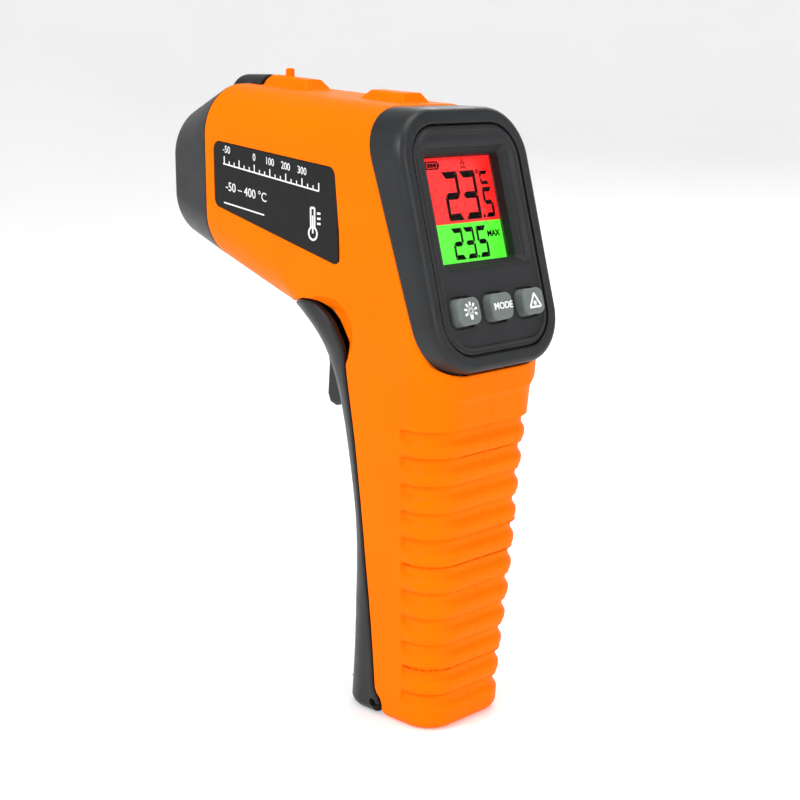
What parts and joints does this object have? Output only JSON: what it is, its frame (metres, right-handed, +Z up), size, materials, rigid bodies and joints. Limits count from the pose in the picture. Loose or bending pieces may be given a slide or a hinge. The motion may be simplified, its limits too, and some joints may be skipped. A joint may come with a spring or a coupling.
{
  "type": "infrared thermometer",
  "caption": "Pistol-grip infrared thermometer with a tilted backlit display, three keys, a trigger, a round lens nose and a battery door in the front of its handle.",
  "frame": {"origin": "on the surface that the handle stands on, under the middle of the thermometer's box", "axes": "+Z up along the handle, -X out of the nose, +X towards the user and the display, -Y the thermometer's left side"},
  "size_m": [0.1018, 0.043, 0.1568],
  "materials": {
    "orange_shell": "satin moulded ABS",
    "dark_trim": "satin moulded plastic",
    "dark_panel": "fine matte plastic",
    "key_rubber": "matte rubber",
    "label_film": "printed satin film",
    "clear_window": "clear acrylic",
    "lcd": "liquid crystal glass",
    "light_guide": "diffusing acrylic",
    "white_plastic": "moulded plastic",
    "circuit_board": "solder mask",
    "black_epoxy": "epoxy",
    "black_part": "moulded plastic",
    "silicone": "silicone",
    "lens_polymer": "milky moulded lens",
    "alloy": "machined",
    "brass_part": "turned",
    "steel_part": "zinc plated",
    "nickel": "nickel plated",
    "cell_wrap": "printed sleeve",
    "wire_sleeve": "PVC"
  },
  "bodies": {
    "casing": {"left_casing": "orange_shell", "right_casing": "orange_shell", "label_left": "label_film", "label_right": "label_film", "casing_screws": "steel_part", "display_bezel": "dark_trim", "display_faceplate": "dark_panel", "display_window": "clear_window", "lcd_glass": "lcd", "backlight_panel": "light_guide", "lcd_frame": "white_plastic", "zebra_strips": "silicone", "display_board": "circuit_board", "board_screws": "steel_part", "key_switches": "black_part", "processor": "black_epoxy", "buzzer": "black_part", "nose_cap": "dark_trim", "lens_shroud": "black_part", "lens_ring": "black_part", "ir_lens": "lens_polymer", "lens_barrel": "black_part", "sensor_holder": "alloy", "thermopile": "nickel", "sensor_board": "circuit_board", "sensor_screws": "steel_part", "laser_module": "brass_part", "laser_lens": "clear_window", "trigger_pin": "steel_part", "trigger_spring": "steel_part", "trigger_board": "circuit_board", "trigger_switch": "black_part", "hinge_pin": "steel_part", "battery_holder": "black_part", "battery_left": "cell_wrap", "battery_right": "cell_wrap", "battery_springs": "nickel", "battery_contacts": "nickel", "battery_leads": "wire_sleeve", "sensor_leads": "wire_sleeve", "laser_leads": "wire_sleeve"},
    "key_light": {"key_light": "key_rubber"},
    "key_mode": {"key_mode": "key_rubber"},
    "key_laser": {"key_laser": "key_rubber"},
    "trigger": {"trigger": "dark_trim"},
    "battery_door": {"battery_door": "dark_trim"}
  },
  "joints": [
    {"name": "trigger_pull", "type": "hinge", "parent": "casing", "child": "trigger", "pos_m": [0.0015, 0, 0.1052], "axis": [0, -1, 0], "range_deg": [0, 8], "stiffness_Nm_per_rad": 0.05, "springref_deg": -17.19, "deforming": ["trigger_spring"]},
    {"name": "light_press", "type": "slide", "parent": "casing", "child": "key_light", "axis": [-0.9659, 0, -0.2588], "range_m": [0, 0.0006], "stiffness_N_per_m": 100, "springref_m": -0.002},
    {"name": "mode_press", "type": "slide", "parent": "casing", "child": "key_mode", "axis": [-0.9659, 0, -0.2588], "range_m": [0, 0.0006], "stiffness_N_per_m": 100, "springref_m": -0.002},
    {"name": "laser_press", "type": "slide", "parent": "casing", "child": "key_laser", "axis": [-0.9659, 0, -0.2588], "range_m": [0, 0.0006], "stiffness_N_per_m": 100, "springref_m": -0.002},
    {"name": "door_swing", "type": "hinge", "parent": "casing", "child": "battery_door", "pos_m": [0.021, 0, 0.003], "axis": [0, -1, 0], "range_deg": [0, 80]}
  ]
}
